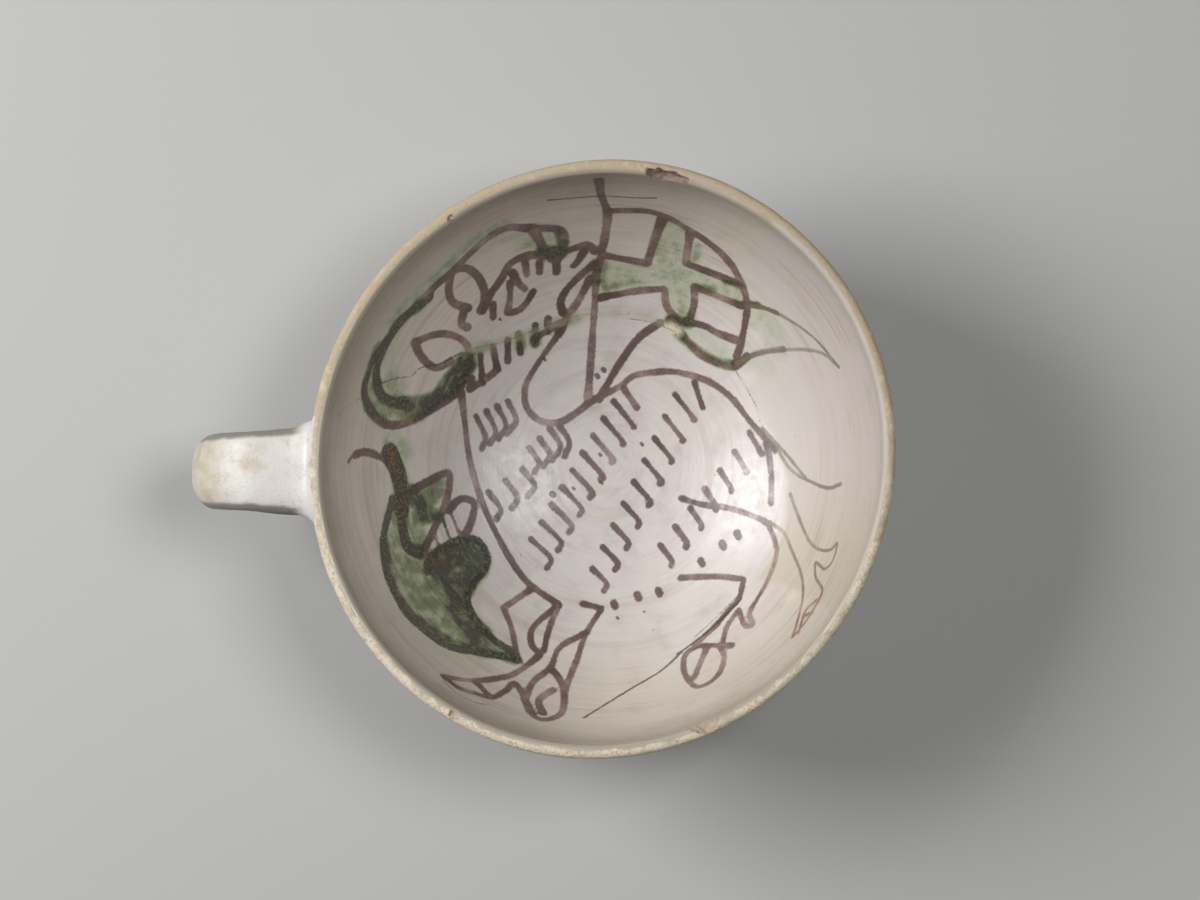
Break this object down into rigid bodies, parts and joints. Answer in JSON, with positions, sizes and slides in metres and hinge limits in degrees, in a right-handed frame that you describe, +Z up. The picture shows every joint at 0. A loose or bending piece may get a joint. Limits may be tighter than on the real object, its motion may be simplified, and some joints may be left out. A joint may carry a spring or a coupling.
{
  "type": "one-handled ceramic bowl",
  "caption": "Deep round tin-glazed earthenware bowl on a flat disc foot, with a strap handle under its worn lip and a painted beast inside, for drinking or serving.",
  "frame": {"origin": "centre of the flat underside of the foot", "axes": "+Z up along the bowl's axis, -X along the handle, so the bowl is longest along X"},
  "size_m": [0.1693, 0.1414, 0.0624],
  "materials": {
    "glaze": "worn tin glaze, semi-gloss"
  },
  "bodies": {
    "root": {"bowl": "glaze"}
  },
  "joints": []
}
